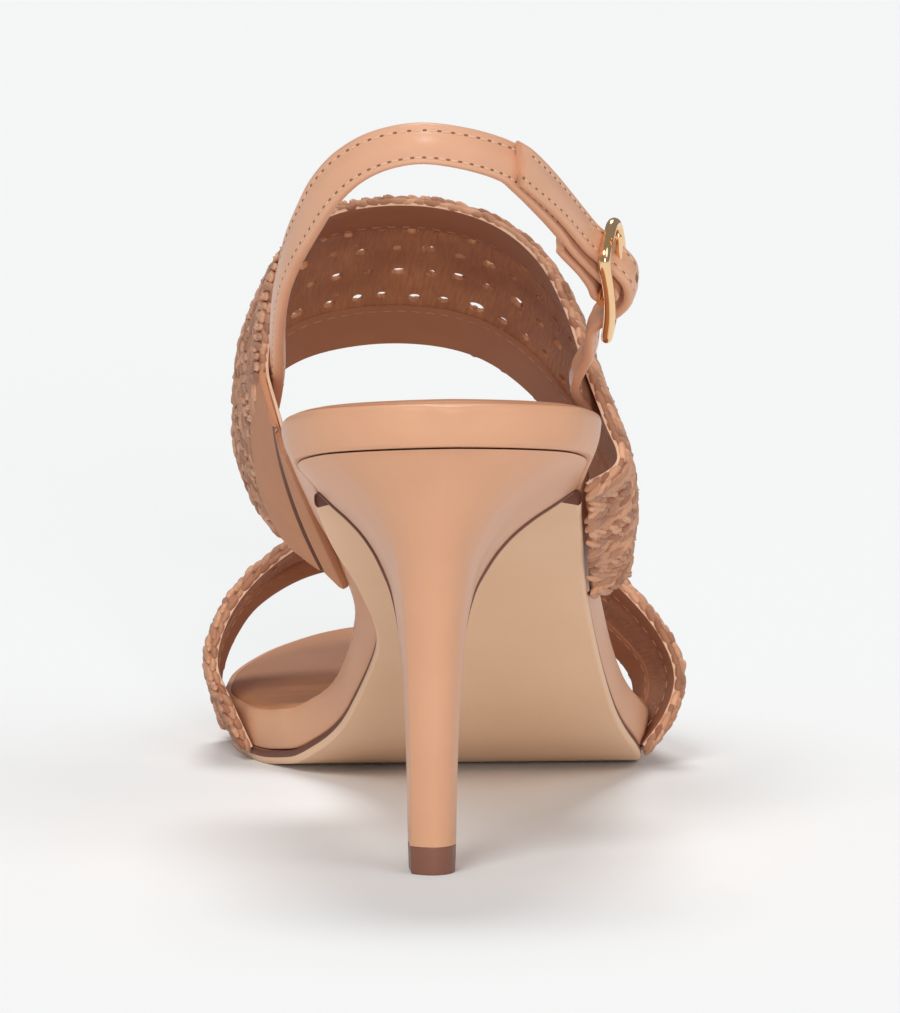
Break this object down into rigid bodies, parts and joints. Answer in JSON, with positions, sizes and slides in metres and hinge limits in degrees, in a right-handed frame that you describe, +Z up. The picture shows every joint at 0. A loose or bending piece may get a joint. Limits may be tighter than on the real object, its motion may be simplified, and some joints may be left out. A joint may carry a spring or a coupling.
{
  "type": "high heeled sandal",
  "caption": "Slim heeled sandal for the right foot, with a woven toe band, a woven instep band and a buckled ankle strap.",
  "frame": {"origin": "centre of the heel tip's lower face, on the floor", "axes": "+Y forwards to the toe, +X to the outer side of the foot, +Z up"},
  "size_m": [0.0909, 0.2254, 0.1328],
  "materials": {
    "outsole_leather": "satin",
    "upper_leather": "satin",
    "insole_leather": "satin",
    "top_lift_plastic": "matte",
    "woven_raffia": "matte",
    "buckle_metal": "polished"
  },
  "bodies": {
    "root": {"outsole": "outsole_leather", "footbed": "upper_leather", "insole": "insole_leather", "heel": "upper_leather", "top_lift": "top_lift_plastic", "toe_band": "woven_raffia", "instep_band": "woven_raffia", "ankle_strap": "upper_leather", "billet_strap": "upper_leather", "buckle_frame": "buckle_metal", "buckle_prong": "buckle_metal"}
  },
  "joints": []
}
